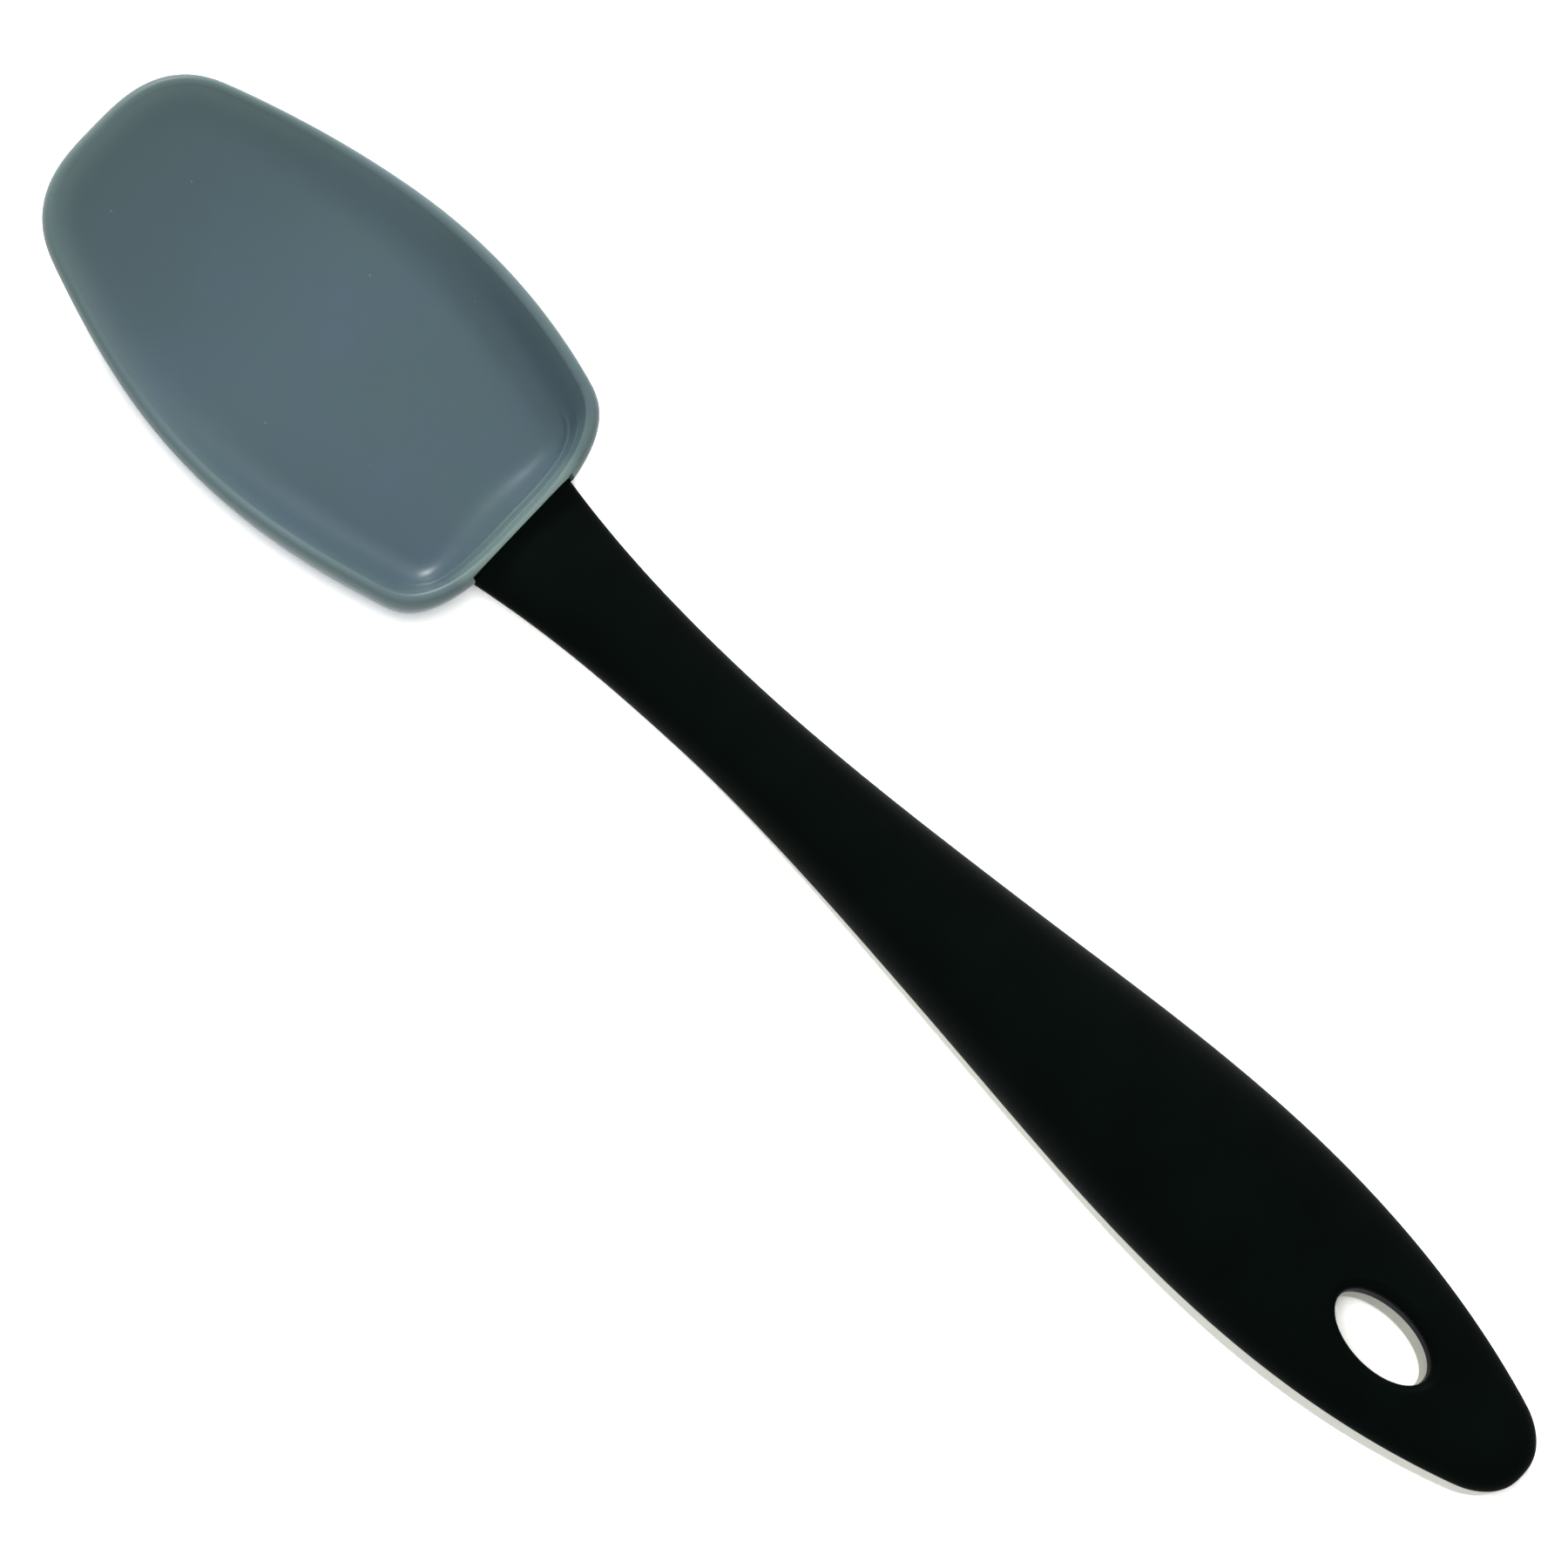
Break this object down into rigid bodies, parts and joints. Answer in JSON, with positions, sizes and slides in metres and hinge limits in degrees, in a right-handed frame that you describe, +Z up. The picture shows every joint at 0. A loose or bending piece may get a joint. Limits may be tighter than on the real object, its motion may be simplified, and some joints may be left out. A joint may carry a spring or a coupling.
{
  "type": "silicone spoon",
  "caption": "Kitchen spoon with a shallow grey silicone scraping head that pulls off a stiff core, and a two-tone black and ivory handle with an oval hang hole.",
  "frame": {"origin": "on the table, under the middle of the spoon's length and width", "axes": "+X from the tip of the head to the hanging end of the handle, +Z up out of the bowl"},
  "size_m": [0.26, 0.0492, 0.0168],
  "materials": {
    "silicone": "grey-blue moulded silicone, satin",
    "core_nylon": "dark grey moulded nylon, matte",
    "black_plastic": "black moulded polypropylene, fine satin",
    "ivory_plastic": "ivory moulded polypropylene, satin"
  },
  "bodies": {
    "handle": {"handle_upper_shell": "black_plastic", "handle_lower_shell": "ivory_plastic", "core_blade": "core_nylon"},
    "head": {"silicone_head": "silicone"}
  },
  "joints": [
    {"name": "head_pull_off", "type": "slide", "parent": "handle", "child": "head", "axis": [-1, 0, 0], "range_m": [0, 0.056]}
  ]
}
